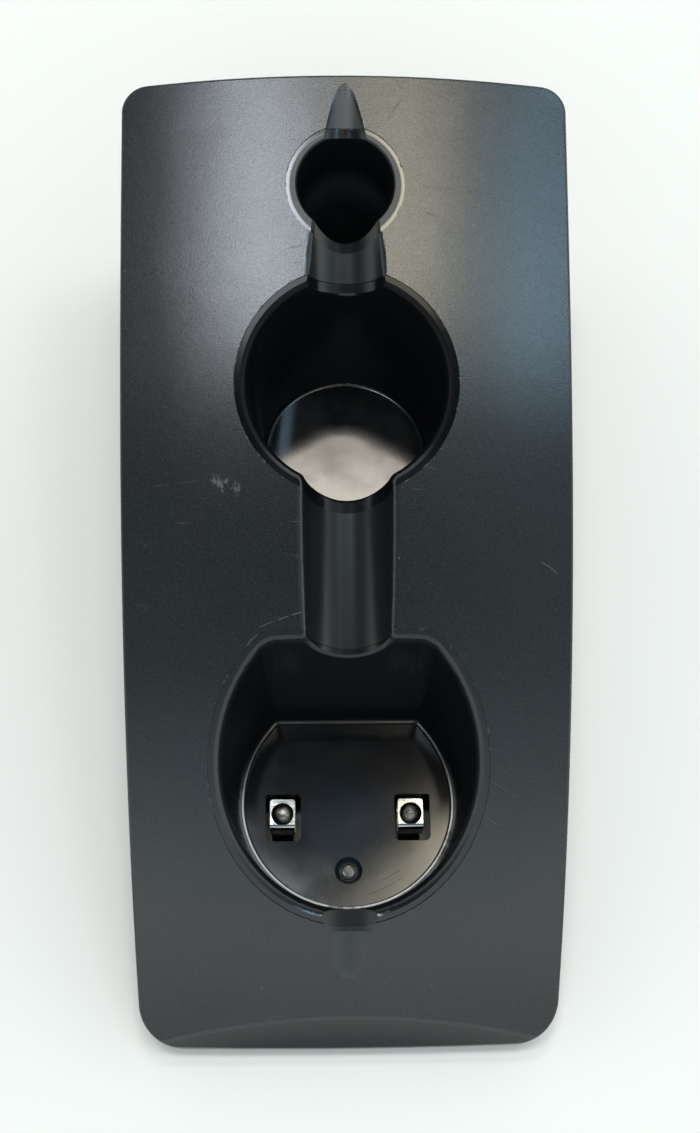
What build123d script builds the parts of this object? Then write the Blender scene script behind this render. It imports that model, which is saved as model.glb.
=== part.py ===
from build123d import *
import math
import os

os.makedirs("parts", exist_ok=True)

# ---------------------------------------------------------------- sizes (mm)
# Frame: +Z up, -Y is the front (the chin), +X is right seen from the front.
# Origin: on the resting surface, under the middle of the overall box.

LEAN = 5.0            # the wells lean back from the vertical by this many degrees
WELL_Y0 = -11.7       # where the well frame's origin lies in the object's frame
WELL_Z0 = 43.35

# sloping face, in the well frame (x across, v rearward, w along the wells' axis)
FACE_A1 = 0.4083
FACE_A2 = -0.002377
FACE_A3 = 1.305e-5
FACE_CROWN = 0.00177

# plan outline at the bottom edge
HALF_LEN = 82.8
HALF_W_FRONT = 37.05
HALF_W_MID = 40.1
HALF_W_REAR = 41.5
FRONT_BOW = 0.6
REAR_BOW = 0.95
FRONT_CORNER_R = 7.5
REAR_CORNER_R = 6.1
SIDE_DRAFT = 1.5      # degrees
WALL = 2.4

FOOT_PROUD = 1.2      # the rubber feet stand this far below the casing
EDGE_R = 0.5          # rounding of the face's and the chin's outer edges
CHIN_V = -62.6        # where the chin facet starts on the centre line
CHIN_SLOPE = 56.0     # degrees in the well frame

# middle well
MID_V, MID_FLOOR, MID_R, MID_DRAFT, MID_LIP = 36.55, -13.7, 14.95, 0.0965, 2.1
# rear well
REAR_V, REAR_FLOOR, REAR_R0, REAR_DRAFT, REAR_LIP = 71.4, -14.0, 7.49, 0.0505, 0.9
# front well: D-shaped, with a small ledge round its floor
DEE_V, DEE_FLOOR = -26.6, -30.4
DEE_R, DEE_SIDE_R, DEE_SIDE_C, DEE_FLAT, DEE_CORNER = 18.75, 22.15, 3.4, 15.0, 1.5
DEE_DRAFT, DEE_LIP = 0.185, 1.9
DEE_FLAT_K, DEE_CORNER_K = 1.16, 0.5     # growth of the flat and of the corners, per growth of the arcs
DEE_LEDGE_W, DEE_LEDGE_H = 0.35, 0.45
CUP_WALL = 1.8
FLOOR_R = 0.6         # rounding where each round well's wall meets its floor
DEE_FLOOR_R, DEE_LEDGE_R = 0.3, 0.22

# each well's rounded lip lies a little under the textured face; the step
# round it is the well's own outline, grown and moved to the front
STEP = 0.18
MID_STEP, REAR_STEP = (2.17, 0.595), (1.99, 0.496)
DEE_STEP, DEE_STEP_FLAT = (2.05, 0.95), 1.0

# groove along the centre line, in three runs: level of each run's axis at v = 0, and its slope
GROOVE_R = 7.57
GROOVE_FRONT, GROOVE_MIDDLE, GROOVE_REAR = (-0.98, 0.4010), (1.30, 0.2740), (-0.84, 0.4010)
GROOVE_LIP, REAR_GROOVE_LIP = 1.3, 1.1      # rounding where the groove runs out over a well's wall
RUNOUT_V, RUNOUT_W, RUNOUT_SLOPE = -47.5, -27.7, 0.619   # the groove's steeper front end

# contact windows in the front well's floor
WIN_X, WIN_W, WIN_V0, WIN_V1 = 11.65, 6.4, -33.5, -24.9
CONTACT_X = 11.6
CONTACT_SHIFT = -0.2

# indicator recess in the front well's floor: a short rim, then a cone down to the hole
LIGHT_V, LIGHT_R, LIGHT_DEPTH, LIGHT_HOLE_R, LIGHT_RIM = -38.85, 2.45, 1.1, 1.5, 0.2

# base plate, feet and case screws (object's frame)
PLATE_TOP = 3.4
PLATE_GAP = 0.15
RIM_T, RIM_TOP, RIM_FRONT_Y = 1.5, 6.4, -50.0
TOWER_R, TOWER_TOP = 4.0, 5.4
CASE_SCREWS = [(29.0, -55.0), (-29.0, -55.0), (30.0, 60.0), (-30.0, 60.0)]
CASE_BOSS_R, CASE_SCREW_R, CASE_SCREW_L = 3.5, 1.45, 10.0
SCREW_HEAD_R, SCREW_HEAD_H, SCREW_SEAT_Z = 2.7, 1.8, 3.6
FEET = [(29.0, -70.0), (-29.0, -70.0), (31.0, 73.0), (-31.0, 73.0)]
FOOT_R, FOOT_H, FOOT_GAP = 5.0, 2.0, 0.1

# circuit board, parallel to the front well's floor (well frame)
BOARD_TOP, BOARD_T, BOARD_X, BOARD_V0, BOARD_V1 = -38.6, 1.2, 21.0, -45.0, -6.0
BOARD_FIXINGS = [(17.5, -41.0), (-17.5, -41.0), (17.5, -11.5), (-17.5, -11.5)]
BOARD_BOSS_R, SMALL_SCREW_R, SMALL_HEAD_R, SMALL_HEAD_H, SMALL_SCREW_L = 2.5, 1.1, 1.9, 0.9, 6.0
SCREW_FIT = 0.02      # radial clearance of every screw in its pilot hole

# charging contacts: folded strip, hinged at its bending line
STRIP_W, STRIP_T = 4.5, 0.35
LEAF_TOP, LEAF_TIP_V, BEND_V = -31.3, -25.55, -31.0
BEAM_TOP, HINGE_V, ROOT_V1 = -36.2, -13.5, -8.5
BEND_R = 0.9
DOME_V, DOME_R, DOME_TOP, DOME_SHANK_R = -28.3, 2.0, -29.7, 1.0
TAB_T = 0.5
RIVET_V, RIVET_R, RIVET_HEAD_R, RIVET_HEAD_H = -10.9, 0.8, 1.3, 0.45

# inlet in the rear wall (object's frame): 5.5 mm barrel, 2.1 mm pin
JACK_Z, JACK_HALF_W, JACK_HALF_H, JACK_Y0, JACK_Y1 = 10.5, 4.5, 5.5, 66.5, 79.5
COLLAR_R, COLLAR_Y1, COLLAR_GAP = 4.3, 82.4, 0.1
BORE_R, BORE_DEPTH, PIN_R, PIN_Y1, TAG_Y = 2.85, 9.5, 1.0, 81.4, 63.5
LEAD_R = 0.65
LEAD_PITCH = 2.5
LEAD_W = -36.25       # level of the leads in their plug, well frame


def face_w(v, x=0.0):
    return FACE_A1 * v + FACE_A2 * v * v + FACE_A3 * v ** 3 - FACE_CROWN * x * x


def face_slope(v):
    return FACE_A1 + 2 * FACE_A2 * v + 3 * FACE_A3 * v * v


SIN, COS = math.sin(math.radians(LEAN)), math.cos(math.radians(LEAN))


def at(x, v, w):
    """A point of the well frame, in the object's frame."""
    return (x, v * COS + w * SIN + WELL_Y0, -v * SIN + w * COS + WELL_Z0)


WELL = Plane(origin=(0, WELL_Y0, WELL_Z0), x_dir=(1, 0, 0), z_dir=(0, SIN, COS)).location


# ------------------------------------------------------------ casing outline
def circle_through(a, b, c):
    (ax, ay), (bx, by), (cx, cy) = a, b, c
    d = 2 * (ax * (by - cy) + bx * (cy - ay) + cx * (ay - by))
    ux = ((ax * ax + ay * ay) * (by - cy) + (bx * bx + by * by) * (cy - ay)
          + (cx * cx + cy * cy) * (ay - by)) / d
    uy = ((ax * ax + ay * ay) * (cx - bx) + (bx * bx + by * by) * (ax - cx)
          + (cx * cx + cy * cy) * (bx - ax)) / d
    return (ux, uy), math.hypot(ax - ux, ay - uy)


SIDE_C, SIDE_R = circle_through((HALF_W_FRONT, -HALF_LEN), (HALF_W_MID, 0.0), (HALF_W_REAR, HALF_LEN))
FRONT_C, FRONT_R = circle_through((-HALF_W_FRONT, -HALF_LEN + FRONT_BOW), (0, -HALF_LEN),
                                  (HALF_W_FRONT, -HALF_LEN + FRONT_BOW))
REAR_C, REAR_R = circle_through((-HALF_W_REAR, HALF_LEN - REAR_BOW), (0, HALF_LEN),
                                (HALF_W_REAR, HALF_LEN - REAR_BOW))


def inner_tangent(c1, r1, c2, r2, rc, side):
    """Centre of a corner circle that touches two big circles from inside."""
    d = math.hypot(c2[0] - c1[0], c2[1] - c1[1])
    a, b = r1 - rc, r2 - rc
    t = (a * a - b * b + d * d) / (2 * d)
    h = math.sqrt(a * a - t * t)
    ux, uy = (c2[0] - c1[0]) / d, (c2[1] - c1[1]) / d
    return (c1[0] + ux * t - uy * h * side, c1[1] + uy * t + ux * h * side)


def corner_centre(c1, r1, c2, r2, rc, near):
    pts = [inner_tangent(c1, r1, c2, r2, rc, s) for s in (1, -1)]
    return min(pts, key=lambda p: math.hypot(p[0] - near[0], p[1] - near[1]))


REAR_CC = corner_centre(SIDE_C, SIDE_R, REAR_C, REAR_R, REAR_CORNER_R, (HALF_W_REAR, HALF_LEN))
FRONT_CC = corner_centre(SIDE_C, SIDE_R, FRONT_C, FRONT_R, FRONT_CORNER_R, (HALF_W_FRONT, -HALF_LEN))


def outline(z, inset=0.0):
    """The casing's plan outline at height z, drawn in by inset."""
    d = -inset

    def reach(c, r, through):
        ux, uy = through[0] - c[0], through[1] - c[1]
        n = math.hypot(ux, uy)
        return (c[0] + ux / n * (r + d), c[1] + uy / n * (r + d), z)

    def mirror(p):
        return (-p[0], p[1], p[2])

    def corner_mid(cc, rc, a, b):
        mx, my = (a[0] + b[0]) / 2 - cc[0], (a[1] + b[1]) / 2 - cc[1]
        n = math.hypot(mx, my)
        return (cc[0] + mx / n * (rc + d), cc[1] + my / n * (rc + d), z)

    rs = reach(SIDE_C, SIDE_R, REAR_CC)       # side arc meets rear corner
    rr = reach(REAR_C, REAR_R, REAR_CC)       # rear arc meets rear corner
    fs = reach(SIDE_C, SIDE_R, FRONT_CC)
    ff = reach(FRONT_C, FRONT_R, FRONT_CC)
    side_mid = corner_mid(SIDE_C, SIDE_R, rs, fs)
    rc_mid = corner_mid(REAR_CC, REAR_CORNER_R, rs, rr)
    fc_mid = corner_mid(FRONT_CC, FRONT_CORNER_R, fs, ff)
    rear_mid = (0, REAR_C[1] + REAR_R + d, z)
    front_mid = (0, FRONT_C[1] - FRONT_R - d, z)
    edges = [
        ThreePointArc(fs, side_mid, rs),
        ThreePointArc(rs, rc_mid, rr),
        ThreePointArc(rr, rear_mid, mirror(rr)),
        ThreePointArc(mirror(rr), mirror(rc_mid), mirror(rs)),
        ThreePointArc(mirror(rs), mirror(side_mid), mirror(fs)),
        ThreePointArc(mirror(fs), mirror(fc_mid), mirror(ff)),
        ThreePointArc(mirror(ff), front_mid, ff),
        ThreePointArc(ff, fc_mid, fs),
    ]
    return Wire(edges)


TAN_D = math.tan(math.radians(SIDE_DRAFT))


def casing_prism(z0, z1, inset=0.0):
    a = outline(z0, inset + (z0 - FOOT_PROUD) * TAN_D)
    b = outline(z1, inset + (z1 - FOOT_PROUD) * TAN_D)
    return Solid.make_loft([a, b], ruled=True)


# ------------------------------------------------------------- face surface
def above_face(depth=0.0):
    """Everything above the sloping face, or above its copy set in by depth."""
    rows = []
    for i in range(33):
        v = -84.0 + i * (190.0 / 32)
        row = []
        for j in range(17):
            x = -52.0 + j * 6.5
            w = face_w(v, x)
            nx, nv, nw = 2 * FACE_CROWN * x, -face_slope(v), 1.0
            n = math.sqrt(nx * nx + nv * nv + nw * nw)
            px, pv, pw = x - depth * nx / n, v - depth * nv / n, w - depth * nw / n
            row.append(Vector(*at(px, pv, pw)))
        rows.append(row)
    surf = Face.make_surface_from_array_of_points(rows, tol=1e-3, min_deg=3, max_deg=5)
    return Solid.extrude(surf, (0, 0, 120))


def beyond_chin(depth=0.0):
    """Everything in front of the chin facet, or of its copy set in by depth."""
    s = math.radians(CHIN_SLOPE)
    v, w = CHIN_V, face_w(CHIN_V)
    nv, nw = -math.sin(s), math.cos(s)            # outward
    v, w = v - depth * nv, w - depth * nw
    o = at(0, v, w)
    ny, nz = nv * COS + nw * SIN, -nv * SIN + nw * COS
    pl = Plane(origin=o, x_dir=(1, 0, 0), z_dir=(0, ny, nz))
    return pl.location * Box(140, 140, 60, align=(Align.CENTER, Align.CENTER, Align.MIN))


BOTTOM_Z = FOOT_PROUD

outer = casing_prism(BOTTOM_Z, 75.0) - above_face() - beyond_chin()
outer = outer.solids()[0]


# ------------------------------------------------------------------- wells
def dee(w, off, flat=None, shift=0.0):
    """The front well's outline at level w: arcs grown by off, the flat by flat, moved forward by shift."""
    r1, rs = DEE_R + off, DEE_SIDE_R + off
    fl = DEE_FLAT + (DEE_FLAT_K * off if flat is None else flat)
    c = DEE_CORNER + DEE_CORNER_K * off
    yc = fl - c
    xc = -DEE_SIDE_C + math.sqrt((rs - c) ** 2 - yc ** 2)
    u = (xc + DEE_SIDE_C, yc)
    n = math.hypot(*u)
    t = (-DEE_SIDE_C + u[0] / n * rs, u[1] / n * rs)
    a0 = math.atan2(t[1], t[0] + DEE_SIDE_C)
    sm = (-DEE_SIDE_C + rs * math.cos(a0 / 2), rs * math.sin(a0 / 2))
    ca = math.atan2(t[1] - yc, t[0] - xc)
    cm = (xc + c * math.cos((ca + math.pi / 2) / 2), yc + c * math.sin((ca + math.pi / 2) / 2))
    f = (xc, fl)

    def P(p, s=1):
        return (s * p[0], p[1] + DEE_V - shift, w)

    edges = [
        ThreePointArc(P((-r1, 0)), P((0, -r1)), P((r1, 0))),
        ThreePointArc(P((r1, 0)), P(sm), P(t)),
        ThreePointArc(P(t), P(cm), P(f)),
        Line(P(f), P(f, -1)),
        ThreePointArc(P(f, -1), P(cm, -1), P(t, -1)),
        ThreePointArc(P(t, -1), P(sm, -1), P((-r1, 0))),
    ]
    return Wire(edges)


def dee_off(w):
    """How far the front well's wall stands outside its floor's outline at level w."""
    return DEE_LEDGE_W + (w - DEE_FLOOR) * DEE_DRAFT


def dee_solid(w0, w1, grow=0.0):
    return Solid.make_loft([dee(w0, grow + dee_off(w0)), dee(w1, grow + dee_off(w1))], ruled=True)


def cone_solid(v, w0, w1, r_at, grow=0.0):
    c = Solid.make_cone(r_at(w0) + grow, r_at(w1) + grow, w1 - w0)
    return Pos(0, v, w0) * c


def mid_r(w):
    return MID_R + MID_DRAFT * (w - MID_FLOOR)


def rear_r(w):
    return REAR_R0 + REAR_DRAFT * w


def groove_tool(r, w0, slope, v0, v1, up=40.0):
    """A round-bottomed slot along the centre line."""
    L = (v1 - v0) * math.sqrt(1 + slope * slope)
    pl = Plane(origin=(0, v0, w0 + slope * v0), x_dir=(1, 0, 0), z_dir=(0, 1, slope))
    # local y of this plane points up and back
    cyl = Solid.make_cylinder(r, L)
    slot = Pos(0, 0, 0) * Box(2 * r, up, L, align=(Align.CENTER, Align.MIN, Align.MIN))
    y_up = pl.y_dir.Z > 0
    if not y_up:
        slot = Box(2 * r, up, L, align=(Align.CENTER, Align.MAX, Align.MIN))
    return pl.location * (cyl + slot)


mid_well = cone_solid(MID_V, MID_FLOOR, 60, mid_r)
rear_well = cone_solid(REAR_V, REAR_FLOOR, 60, rear_r)
dee_well = dee_solid(DEE_FLOOR + DEE_LEDGE_H, 25)
dee_base = Solid.make_loft([dee(DEE_FLOOR, 0.0), dee(DEE_FLOOR + DEE_LEDGE_H + 1.0, 0.03)], ruled=True)


def floor_round(solid, w, r=FLOOR_R):
    es = [e for e in solid.edges() if abs(e.center().Z - w) < 1e-3 and abs(e.bounding_box().size.Z) < 1e-3]
    return solid.fillet(r, es)


mid_well = floor_round(mid_well, MID_FLOOR)
rear_well = floor_round(rear_well, REAR_FLOOR)
dee_well = floor_round(dee_well, DEE_FLOOR + DEE_LEDGE_H, DEE_LEDGE_R) \
    + floor_round(dee_base, DEE_FLOOR, DEE_FLOOR_R)
dee_well = dee_well.solids()[0]

# outlines of the steps round the lips
mid_ring = Pos(0, -MID_STEP[1], 0) * cone_solid(MID_V, MID_FLOOR + 1, 60, mid_r, MID_STEP[0])
rear_ring = Pos(0, -REAR_STEP[1], 0) * cone_solid(REAR_V, REAR_FLOOR + 1, 60, rear_r, REAR_STEP[0])


def dee_ring_outline(w):
    o, s = DEE_STEP
    return dee(w, dee_off(w) + o, DEE_FLAT_K * dee_off(w) + DEE_STEP_FLAT + s, s)


dee_ring = Solid.make_loft([dee_ring_outline(DEE_FLOOR), dee_ring_outline(25)], ruled=True)


# --------------------------------------------------------------- small tools
def to_well(p):
    """A point of the object's frame, in the well frame."""
    y, z = p.Y - WELL_Y0, p.Z - WELL_Z0
    return p.X, y * COS - z * SIN, y * SIN + z * COS


def block(x0, x1, y0, y1, z0, z1):
    return Pos(x0, y0, z0) * Box(x1 - x0, y1 - y0, z1 - z0, align=(Align.MIN, Align.MIN, Align.MIN))


def rod(x, y, z0, z1, r):
    return Pos(x, y, z0) * Cylinder(r, z1 - z0, align=(Align.CENTER, Align.CENTER, Align.MIN))


def rod_y(x, y0, y1, z, r):
    c = Solid.make_cylinder(r, y1 - y0, Plane(origin=(x, y0, z), x_dir=(1, 0, 0), z_dir=(0, 1, 0)))
    return c


def one(shape):
    """The single solid that a boolean leaves."""
    return max(shape.solids(), key=lambda q: q.volume)


def save(name, *solids):
    flat = []
    for s in solids:
        flat.extend(s.solids())
    shape = flat[0] if len(flat) == 1 else Compound(children=flat)
    export_step(shape, "parts/" + name + ".step")


# -------------------------------------------------------------- top housing
outer_edges = [e for e in outer.edges()
               if e.bounding_box().min.Z > 3.0 and e.geom_type != GeomType.LINE]
shell = outer.fillet(EDGE_R, outer_edges)
shell = one(shell - (WELL * mid_well) - (WELL * rear_well) - (WELL * dee_well))


def wall_gap(kind, x, v, w):
    """Distance of a point outside a well's wall, at the point's own level."""
    if kind == "mid":
        return math.hypot(x, v - MID_V) - mid_r(w)
    if kind == "rear":
        return math.hypot(x, v - REAR_V) - rear_r(w)
    dv = v - DEE_V
    if dv < 0:
        return math.hypot(x, dv) - DEE_R - dee_off(w)
    return max(math.hypot(abs(x) + DEE_SIDE_C, dv) - DEE_SIDE_R - dee_off(w),
               (dv - DEE_FLAT) / DEE_FLAT_K - dee_off(w))


def rim_edges(solid, kind):
    """The edges where a well's wall meets the face."""
    found = []
    for e in solid.edges():
        x, v, w = to_well(e.position_at(0.5))
        if abs(face_w(v, x) - w) < 0.03 and abs(wall_gap(kind, x, v, w) + 0.3) < 0.6:
            found.append(e)
    return found


for kind, r in (("mid", MID_LIP), ("rear", REAR_LIP), ("dee", DEE_LIP)):
    shell = shell.fillet(r, rim_edges(shell, kind))

# the groove, with its steeper run-out at the front
runout_w0 = RUNOUT_W - RUNOUT_SLOPE * RUNOUT_V + GROOVE_R * math.sqrt(1 + RUNOUT_SLOPE ** 2)
runout = groove_tool(GROOVE_R, runout_w0, RUNOUT_SLOPE, v0=-80.0, v1=-45.0)


def groove_runs(r, v0=-75.0):
    return [groove_tool(r, *GROOVE_FRONT, v0, -30.0), groove_tool(r, *GROOVE_MIDDLE, -20.0, 36.0),
            groove_tool(r, *GROOVE_REAR, 36.0, 110.0)]


for tool in groove_runs(GROOVE_R) + [runout]:
    shell = one(shell - (WELL * tool))


def edge_near(solid, v, w):
    """The centre-line edge whose middle lies nearest to (v, w) of the well frame."""
    def far(e):
        x, ev, ew = to_well(e.position_at(0.5))
        return math.hypot(x, math.hypot(ev - v, ew - w))
    return min([e for e in solid.edges() if e.bounding_box().size.X > 5.0 and e.length < 40.0], key=far)


def floor_meets(wall_v, run):
    """Where the floor of one run of the groove meets a wall on the centre line."""
    w0, slope = run
    v = w = 0.0
    for _ in range(60):
        w = w0 + slope * v - GROOVE_R * math.sqrt(1 + slope ** 2)
        v = wall_v(w)
    return v, w


# the groove's floor is rounded where it runs over a well's wall
front_ends = [floor_meets(lambda w: DEE_V + DEE_FLAT + DEE_FLAT_K * dee_off(w), GROOVE_MIDDLE),
              floor_meets(lambda w: MID_V - mid_r(w), GROOVE_MIDDLE)]
rear_ends = [floor_meets(lambda w: MID_V + mid_r(w), GROOVE_REAR),
             floor_meets(lambda w: REAR_V - rear_r(w), GROOVE_REAR)]
shell = shell.fillet(GROOVE_LIP, [edge_near(shell, v, w) for v, w in front_ends])
shell = shell.fillet(REAR_GROOVE_LIP, [edge_near(shell, v, w) for v, w in rear_ends])

# the steps round the lips: the face and the groove's floor are cut a little deeper inside each outline
recessed = above_face(STEP)
front_run, middle_run, rear_run = groove_runs(GROOVE_R + STEP)
for ring in (mid_ring, rear_ring, dee_ring):
    shell = one(shell - ((WELL * ring) & recessed))
for ring, run in ((mid_ring, middle_run), (mid_ring, rear_run), (rear_ring, rear_run), (dee_ring, middle_run),
                  (dee_ring, front_run)):
    shell = one(shell - (WELL * (ring & run)))

# windows for the two contacts, with rounded front corners
for side in (1, -1):
    win = block(side * WIN_X - WIN_W / 2, side * WIN_X + WIN_W / 2, WIN_V0, WIN_V1, DEE_FLOOR - 2.5, DEE_FLOOR + 0.5)
    win = win.fillet(1.0, [e for e in win.edges()
                           if e.bounding_box().size.Z > 1 and e.center().Y < WIN_V0 + 0.1])
    win = win.fillet(0.4, [e for e in win.edges()
                           if e.bounding_box().size.Z > 1 and e.geom_type == GeomType.LINE
                           and e.center().Y > WIN_V1 - 0.1])
    shell = shell - (WELL * win)

# recess and hole for the indicator
shell = shell - (WELL * rod(0, LIGHT_V, DEE_FLOOR - LIGHT_RIM, DEE_FLOOR + 1, LIGHT_R))
shell = shell - (WELL * (Pos(0, LIGHT_V, DEE_FLOOR - LIGHT_DEPTH)
                         * Cone(LIGHT_HOLE_R + 0.15, LIGHT_R, LIGHT_DEPTH - LIGHT_RIM,
                                align=(Align.CENTER, Align.CENTER, Align.MIN))))
shell = shell - (WELL * rod(0, LIGHT_V, DEE_FLOOR - 3, DEE_FLOOR, LIGHT_HOLE_R))
shell = one(shell)

# hollow inside, open at the bottom: cups, groove trough and bosses stay solid
hollow = casing_prism(BOTTOM_Z - 0.5, 75.0, WALL) - above_face(WALL) - beyond_chin(2.2)
hollow = one(hollow)
cups = [
    WELL * cone_solid(MID_V, MID_FLOOR - CUP_WALL, 60, mid_r, CUP_WALL),
    WELL * cone_solid(REAR_V, REAR_FLOOR - CUP_WALL, 60, rear_r, CUP_WALL),
    WELL * dee_solid(DEE_FLOOR - CUP_WALL, 25, CUP_WALL),
] + [WELL * run for run in groove_runs(GROOVE_R + CUP_WALL, -60.0)]
for c in cups:
    hollow = hollow - c
for x, y in CASE_SCREWS:
    hollow = hollow - rod(x, y, TOWER_TOP, 70, CASE_BOSS_R)
    s = 1 if x > 0 else -1
    rib_x = sorted((x, s * 45.0))
    hollow = hollow - block(rib_x[0], rib_x[1], y - 0.8, y + 0.8, RIM_TOP + 0.8, 70)
for x, v in BOARD_FIXINGS:
    hollow = hollow - (WELL * rod(x, v, BOARD_TOP, 30, BOARD_BOSS_R))
pieces = sorted(hollow.solids(), key=lambda q: -q.volume)
housing = shell
for q in pieces:
    housing = housing - q
housing = one(housing)

# pilot holes and the inlet's hole in the rear wall
for x, y in CASE_SCREWS:
    housing = housing - rod(x, y, TOWER_TOP - 1, SCREW_SEAT_Z + CASE_SCREW_L + 1.5, CASE_SCREW_R + SCREW_FIT)
for x, v in BOARD_FIXINGS:
    housing = housing - (WELL * rod(x, v, BOARD_TOP - 1, BOARD_TOP - BOARD_T + SMALL_SCREW_L + 1.0,
                                    SMALL_SCREW_R + SCREW_FIT))
housing = housing - rod_y(0, 76.0, 90.0, JACK_Z, COLLAR_R + COLLAR_GAP)
housing = one(housing)
save("top_housing", housing)
print("top_housing", housing.is_valid, round(housing.volume, 1))

# --------------------------------------------------------------- base plate
plate = casing_prism(BOTTOM_Z, PLATE_TOP, WALL + PLATE_GAP)
rim = casing_prism(PLATE_TOP - 0.5, RIM_TOP, WALL + PLATE_GAP) \
    - casing_prism(PLATE_TOP - 1.0, RIM_TOP + 1, WALL + PLATE_GAP + RIM_T)
rim = rim - block(-60, 60, -100, RIM_FRONT_Y, 0, 20) - block(-15, 15, 60, 100, 0, 20)
plate = plate + rim
for x, y in CASE_SCREWS:
    plate = plate + rod(x, y, PLATE_TOP - 0.5, TOWER_TOP, TOWER_R)
# cradle for the inlet: pedestal, side fences, back stop and two screw posts
plate = plate + block(-JACK_HALF_W, JACK_HALF_W, 64.8, 79.2, PLATE_TOP - 0.5, JACK_Z - JACK_HALF_H)
plate = plate + block(-JACK_HALF_W, JACK_HALF_W, 64.8, 66.4, PLATE_TOP - 0.5, 8.0)
for s in (1, -1):
    xs = sorted((s * 4.65, s * 6.15))
    plate = plate + block(xs[0], xs[1], 66.5, 69.0, PLATE_TOP - 0.5, 9.0)
    plate = plate + block(xs[0], xs[1], 77.0, 79.2, PLATE_TOP - 0.5, 9.0)
    plate = plate + rod(s * 9.5, 73.0, PLATE_TOP - 0.5, 8.0, 2.9)
# two clips that hold the leads down
for y in (12.0, 30.0):
    for s in (1, -1):
        xs = sorted((s * 2.0, s * 3.2))
        xl = sorted((s * 1.2, s * 3.2))
        plate = plate + block(xs[0], xs[1], y - 1.5, y + 1.5, PLATE_TOP - 0.5, 7.0)
        plate = plate + block(xl[0], xl[1], y - 1.5, y + 1.5, 6.0, 7.0)
plate = one(plate)
for x, y in CASE_SCREWS:
    plate = plate - rod(x, y, 0, SCREW_SEAT_Z, 3.1) - rod(x, y, 0, 10, 1.7)
for x, y in FEET:
    plate = plate - rod(x, y, -1, FOOT_H, FOOT_R + FOOT_GAP)
for s in (1, -1):
    plate = plate - rod(s * 9.5, 73.0, 3.2, 10, SMALL_SCREW_R + SCREW_FIT)
plate = one(plate)
save("base_plate", plate)

# ----------------------------------------------------------- feet and screws
feet = []
for x, y in FEET:
    f = rod(x, y, 0, FOOT_H, FOOT_R)
    f = f.chamfer(0.4, None, [e for e in f.edges() if abs(e.center().Z) < 1e-6])
    feet.append(f)
save("rubber_feet", *feet)


def cross_recess(w, t, depth):
    return Box(w, t, 2 * depth) + Box(t, w, 2 * depth)


def pan_screw(head_r, head_h, shank_r, length):
    """A pan-head screw: head below z = 0, shank above it, recess in the underside."""
    s = rod(0, 0, -head_h, 0, head_r)
    s = s.fillet(head_h * 0.4, [e for e in s.edges() if abs(e.center().Z + head_h) < 1e-6])
    s = s + rod(0, 0, -0.1, length - shank_r, shank_r)
    s = s + Pos(0, 0, length - shank_r) * Cone(shank_r, 0.2 * shank_r, shank_r,
                                               align=(Align.CENTER, Align.CENTER, Align.MIN))
    s = s - Pos(0, 0, -head_h) * cross_recess(head_r * 1.1, head_r * 0.24, head_h * 0.55)
    return one(s)


save("housing_screws", *[Pos(x, y, SCREW_SEAT_Z) * pan_screw(SCREW_HEAD_R, SCREW_HEAD_H, CASE_SCREW_R, CASE_SCREW_L)
                         for x, y in CASE_SCREWS])
save("board_screws", *[WELL * (Pos(x, v, BOARD_TOP - BOARD_T)
                               * pan_screw(SMALL_HEAD_R, SMALL_HEAD_H, SMALL_SCREW_R, SMALL_SCREW_L))
                       for x, v in BOARD_FIXINGS])

# ------------------------------------------------------------ circuit board
LEG_VS = (HINGE_V + 0.2, ROOT_V1 + 0.0)      # front faces of a terminal's two legs
board = block(-BOARD_X, BOARD_X, BOARD_V0, BOARD_V1, BOARD_TOP - BOARD_T, BOARD_TOP)
board = board.fillet(2.0, [e for e in board.edges() if e.bounding_box().size.Z > 1])
for x, v in BOARD_FIXINGS:
    board = board - rod(x, v, BOARD_TOP - 3, BOARD_TOP + 1, SMALL_SCREW_R + 0.15)
for side in (1, -1):
    cx = side * CONTACT_X + CONTACT_SHIFT
    for v in LEG_VS:
        board = board - block(cx - 0.85, cx + 0.85, v - 0.1, v + TAB_T + 0.1, BOARD_TOP - 3, BOARD_TOP + 1)
    board = board - block(side * LEAD_PITCH / 2 - 0.35, side * LEAD_PITCH / 2 + 0.35, -16.35, -15.65,
                          BOARD_TOP - 3, BOARD_TOP + 1)
save("circuit_board", WELL * one(board))

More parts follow.
